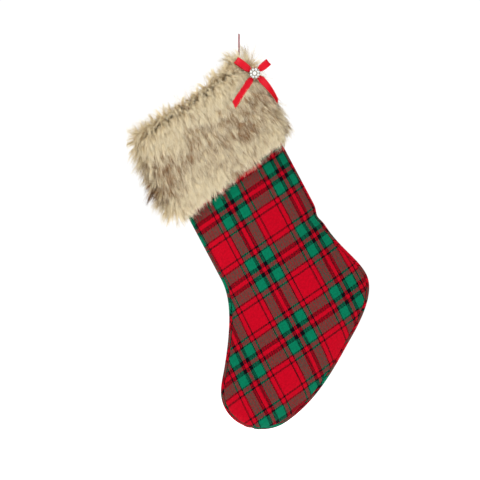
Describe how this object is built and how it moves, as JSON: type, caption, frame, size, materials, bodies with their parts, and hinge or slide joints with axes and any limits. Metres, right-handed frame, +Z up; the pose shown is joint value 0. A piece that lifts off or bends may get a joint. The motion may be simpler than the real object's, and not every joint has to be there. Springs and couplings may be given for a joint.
{
  "type": "hanging stocking",
  "caption": "Tartan cloth stocking with a deep long-pile fur cuff, a satin bow with a jewelled brooch and a cord loop to hang it by.",
  "frame": {"origin": "where a hook bears, at the inside top of the cord loop that the stocking hangs from", "axes": "+Z up as it hangs, +Y into the wall behind it, +X to the viewer's right; the leg leans 28 degrees, with the toe low and to the left"},
  "size_m": [0.3468, 0.0801, 0.5937],
  "materials": {
    "cord": "satin",
    "satin_ribbon": "satin",
    "tartan": "matte",
    "fur": "matte",
    "wadding": "matte",
    "lining": "satin",
    "facing": "matte",
    "thread": "satin",
    "silver": "polished",
    "crystal": "polished",
    "pearl": "gloss"
  },
  "bodies": {
    "hanging_loop": {"hanging_loop": "cord"},
    "loop_knot": {"loop_knot": "cord"},
    "stocking": {"loop_stitches": "thread", "front_panel": "tartan", "back_panel": "tartan", "front_wadding": "wadding", "back_wadding": "wadding", "front_lining": "lining", "back_lining": "lining", "mouth_facing": "facing", "cuff_front": "fur", "cuff_back": "fur", "bow_stitches": "thread"},
    "bow": {"bow_knot": "satin_ribbon", "brooch_shank": "silver", "brooch_setting": "silver", "brooch_stones": "crystal", "brooch_centre_stone": "pearl"},
    "bow_loop_left": {"bow_loop_left": "satin_ribbon"},
    "bow_loop_right": {"bow_loop_right": "satin_ribbon"},
    "bow_tail_left": {"bow_tail_left": "satin_ribbon"},
    "bow_tail_right": {"bow_tail_right": "satin_ribbon"}
  },
  "joints": [
    {"name": "side_swing", "type": "hinge", "parent": "hanging_loop", "child": "loop_knot", "pos_m": [0, 0, -0.042], "axis": [0, 1, 0], "range_deg": [-25, 25]},
    {"name": "front_sway", "type": "hinge", "parent": "loop_knot", "child": "stocking", "pos_m": [0, 0, -0.042], "axis": [1, 0, 0], "range_deg": [-15, 15]},
    {"name": "bow_turn", "type": "hinge", "parent": "stocking", "child": "bow", "pos_m": [0.02327, -0.028, -0.06021], "axis": [0, 1, 0], "range_deg": [-8, 8]},
    {"name": "left_loop_flex", "type": "hinge", "parent": "bow", "child": "bow_loop_left", "pos_m": [0.01882, -0.028, -0.05697], "axis": [0.5878, 0, 0.809], "range_deg": [0, 20], "stiffness_Nm_per_rad": 0.002},
    {"name": "right_loop_flex", "type": "hinge", "parent": "bow", "child": "bow_loop_right", "pos_m": [0.02748, -0.028, -0.05667], "axis": [0.6428, 0, -0.766], "range_deg": [0, 20], "stiffness_Nm_per_rad": 0.002},
    {"name": "left_tail_lift", "type": "hinge", "parent": "bow", "child": "bow_tail_left", "pos_m": [0.02024, -0.028, -0.0648], "axis": [-0.8412, 0, 0.5408], "range_deg": [0, 40]},
    {"name": "right_tail_lift", "type": "hinge", "parent": "bow", "child": "bow_tail_right", "pos_m": [0.02735, -0.028, -0.0639], "axis": [-0.6712, 0, -0.7413], "range_deg": [0, 40]}
  ]
}
